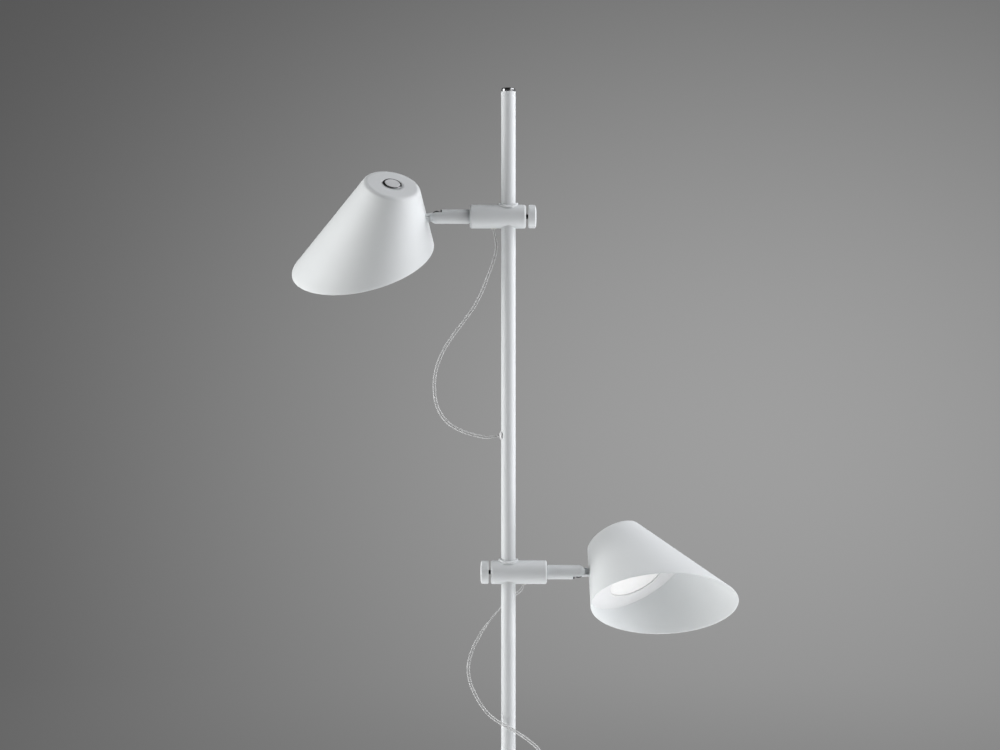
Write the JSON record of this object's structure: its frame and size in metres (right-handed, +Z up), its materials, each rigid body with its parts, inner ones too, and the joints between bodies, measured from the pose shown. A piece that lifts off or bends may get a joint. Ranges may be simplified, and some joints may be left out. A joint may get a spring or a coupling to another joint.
{
  "type": "adjustable arm floor lamp",
  "caption": "Floor lamp with a slim white pole on a disc base and adjustable arms that carry obliquely cut cone shades on sliding, swivelling clamps.",
  "frame": {"origin": "centre of the base's resting face on the floor, on the pole's axis", "axes": "+Z up along the pole; +X towards the lower arm, -X towards the upper arm; -Y is the front"},
  "size_m": [0.6217, 0.273, 1.6],
  "materials": {
    "white_steel": "matte white powder coat on steel",
    "white_aluminium": "matte white powder coat on aluminium",
    "shade_paint": "matte white powder coat on spun aluminium",
    "chrome": "dark polished chrome plate",
    "black_steel": "black oxide steel",
    "zinc_steel": "zinc-plated steel",
    "bare_aluminium": "bare aluminium",
    "brass": "turned brass",
    "nylon": "natural nylon",
    "white_plastic": "white moulded plastic",
    "button_plastic": "pale grey moulded plastic",
    "opal": "opal diffuser plastic",
    "clear_cord": "clear insulation over tinned cores",
    "black_rubber": "black rubber",
    "felt": "dark grey felt"
  },
  "bodies": {
    "root": {"foot_pad": "felt", "base_disc": "white_steel", "base_hub": "white_steel", "base_nipple": "zinc_steel", "base_nut": "zinc_steel", "mains_gland": "black_rubber", "pole_lower": "white_steel", "pole_middle": "white_steel", "pole_upper": "white_steel", "pole_sleeves": "zinc_steel", "pole_end_cap": "chrome", "splice_connector": "nylon", "pole_leads": "clear_cord", "upper_grommet": "white_plastic", "lower_grommet": "white_plastic", "upper_cord": "clear_cord", "lower_cord": "clear_cord"},
    "upper_carriage": {"upper_liner": "nylon"},
    "upper_clamp": {"upper_clamp_body": "white_aluminium", "upper_clamp_collar": "white_aluminium", "upper_thread_insert": "brass", "upper_cord_bushing": "nylon", "upper_arm_screw": "black_steel"},
    "upper_pad": {"upper_clamp_pad": "nylon"},
    "upper_knob_set": {"upper_knob": "white_aluminium", "upper_knob_screw": "black_steel"},
    "upper_arm": {"upper_arm_rod": "white_aluminium", "upper_arm_lead": "black_rubber", "upper_pivot_screw": "black_steel"},
    "upper_head": {"upper_hinge_knuckle": "black_steel", "upper_shade_bracket": "white_aluminium", "upper_bracket_nut": "zinc_steel", "upper_shade": "shade_paint", "upper_led_module": "bare_aluminium", "upper_diffuser_ring": "white_plastic", "upper_diffuser": "opal", "upper_switch_body": "chrome"},
    "upper_push_button": {"upper_button": "button_plastic"},
    "lower_carriage": {"lower_liner": "nylon"},
    "lower_clamp": {"lower_clamp_body": "white_aluminium", "lower_clamp_collar": "white_aluminium", "lower_thread_insert": "brass", "lower_cord_bushing": "nylon", "lower_arm_screw": "black_steel"},
    "lower_pad": {"lower_clamp_pad": "nylon"},
    "lower_knob_set": {"lower_knob": "white_aluminium", "lower_knob_screw": "black_steel"},
    "lower_arm": {"lower_arm_rod": "white_aluminium", "lower_arm_lead": "black_rubber", "lower_pivot_screw": "black_steel"},
    "lower_head": {"lower_hinge_knuckle": "black_steel", "lower_shade_bracket": "white_aluminium", "lower_bracket_nut": "zinc_steel", "lower_shade": "shade_paint", "lower_led_module": "bare_aluminium", "lower_diffuser_ring": "white_plastic", "lower_diffuser": "opal", "lower_switch_body": "chrome"},
    "lower_push_button": {"lower_button": "button_plastic"}
  },
  "joints": [
    {"name": "upper_height", "type": "slide", "parent": "root", "child": "upper_carriage", "axis": [0, 0, 1], "range_m": [-0.15, 0.075], "deforming": ["upper_cord"]},
    {"name": "upper_swivel", "type": "hinge", "parent": "upper_carriage", "child": "upper_clamp", "pos_m": [0, 0, 1.422], "axis": [0, 0, 1], "range_deg": [-150, 150], "deforming": ["upper_cord"]},
    {"name": "upper_pad_travel", "type": "slide", "parent": "upper_clamp", "child": "upper_pad", "axis": [1, 0, 0], "range_m": [0, 0.002]},
    {"name": "upper_knob_turn", "type": "hinge", "parent": "upper_pad", "child": "upper_knob_set", "pos_m": [0, 0, 1.422], "axis": [1, 0, 0], "range_deg": [0, 721]},
    {"name": "upper_roll", "type": "hinge", "parent": "upper_clamp", "child": "upper_arm", "pos_m": [0, 0, 1.422], "axis": [-1, 0, 0], "range_deg": [-150, 150]},
    {"name": "upper_tilt", "type": "hinge", "parent": "upper_arm", "child": "upper_head", "pos_m": [-0.0992, 0, 1.422], "axis": [0, 0.848, 0.5299], "range_deg": [-47, 69]},
    {"name": "upper_press", "type": "slide", "parent": "upper_head", "child": "upper_push_button", "axis": [-0.2079, 0.5183, -0.8295], "range_m": [0, 0.0012], "stiffness_N_per_m": 1000, "springref_m": -0.0005},
    {"name": "lower_height", "type": "slide", "parent": "root", "child": "lower_carriage", "axis": [0, 0, 1], "range_m": [-0.15, 0.075], "deforming": ["lower_cord"]},
    {"name": "lower_swivel", "type": "hinge", "parent": "lower_carriage", "child": "lower_clamp", "pos_m": [0, 0, 0.93], "axis": [0, 0, 1], "range_deg": [-150, 150], "deforming": ["lower_cord"]},
    {"name": "lower_pad_travel", "type": "slide", "parent": "lower_clamp", "child": "lower_pad", "axis": [-1, 0, 0], "range_m": [0, 0.002]},
    {"name": "lower_knob_turn", "type": "hinge", "parent": "lower_pad", "child": "lower_knob_set", "pos_m": [0, 0, 0.93], "axis": [-1, 0, 0], "range_deg": [0, 721]},
    {"name": "lower_roll", "type": "hinge", "parent": "lower_clamp", "child": "lower_arm", "pos_m": [0, 0, 0.93], "axis": [1, 0, 0], "range_deg": [-150, 150]},
    {"name": "lower_tilt", "type": "hinge", "parent": "lower_arm", "child": "lower_head", "pos_m": [0.0968, 0, 0.93], "axis": [0, -0.848, 0.5299], "range_deg": [-59, 57]},
    {"name": "lower_press", "type": "slide", "parent": "lower_head", "child": "lower_push_button", "axis": [0.4258, -0.4795, -0.7673], "range_m": [0, 0.0012], "stiffness_N_per_m": 1000, "springref_m": -0.0005}
  ],
  "couplings": [
    {"joint": "upper_knob_turn", "follows": "upper_pad_travel", "rad_per_m": 6283.2},
    {"joint": "lower_knob_turn", "follows": "lower_pad_travel", "rad_per_m": 6283.2}
  ]
}
